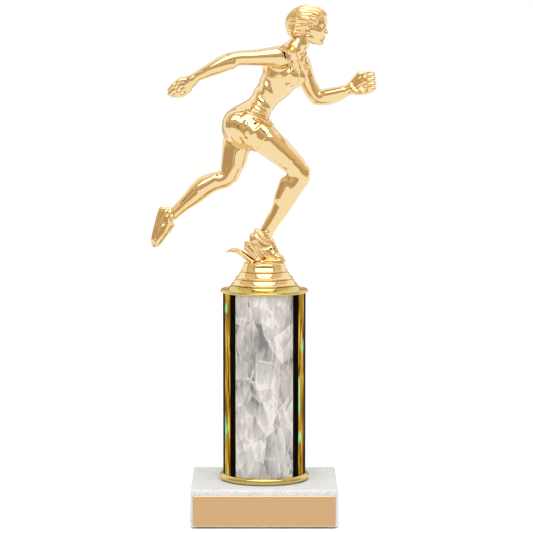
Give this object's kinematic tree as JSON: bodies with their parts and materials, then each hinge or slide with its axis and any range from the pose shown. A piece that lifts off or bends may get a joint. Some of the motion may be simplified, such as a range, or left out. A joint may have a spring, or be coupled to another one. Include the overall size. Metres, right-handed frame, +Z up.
{
  "type": "column trophy",
  "caption": "Column trophy: marble slab with a blank plate, film-wrapped round column between metallised rings, and a runner figure on a stepped riser that turns on the centre rod.",
  "frame": {"origin": "On the surface that the felt pads rest on, in line with the centre rod and the column's axis.", "axes": "+Z up along the column; -Y is the front, where the plate is; +X is to the right from the front, the way the runner faces."},
  "size_m": [0.1189, 0.0708, 0.2708],
  "materials": {
    "felt": "pressed black felt with a self-adhesive back",
    "marble": "polished white marble with a fine grey speckle",
    "tape": "thin white double-sided tape",
    "plate": "satin peach-gold engraving plate, blank",
    "steel_parts": "zinc-plated steel",
    "ring_gold": "moulded plastic, vacuum-metallised bright yellow gold",
    "tube_plastic": "extruded plastic tube",
    "silver_film": "metallised film with a crumpled, feathery silver pattern",
    "black_film": "gloss black film",
    "gold_film": "metallised gold film with faint prismatic glints",
    "figure_gold": "moulded plastic, vacuum-metallised champagne gold, mirror bright"
  },
  "bodies": {
    "stand": {"felt_pads": "felt", "marble_base": "marble", "plate_tape": "tape", "name_plate": "plate", "lower_nut": "steel_parts", "lower_washer": "steel_parts", "threaded_rod": "steel_parts", "bottom_cap": "ring_gold", "column_tube": "tube_plastic", "silver_film": "silver_film", "black_film": "black_film", "gold_film": "gold_film", "top_cap": "ring_gold"},
    "figure": {"figure_riser": "figure_gold", "riser_nut": "steel_parts", "ground_fin": "figure_gold", "runner_torso": "figure_gold", "runner_head": "figure_gold", "right_arm": "figure_gold", "left_arm": "figure_gold", "right_leg": "figure_gold", "left_leg": "figure_gold"}
  },
  "joints": [
    {"name": "figure_turn", "type": "hinge", "parent": "stand", "child": "figure", "pos_m": [0, 0, 0.1237], "axis": [0, 0, 1], "range_deg": [-180, 180]}
  ]
}
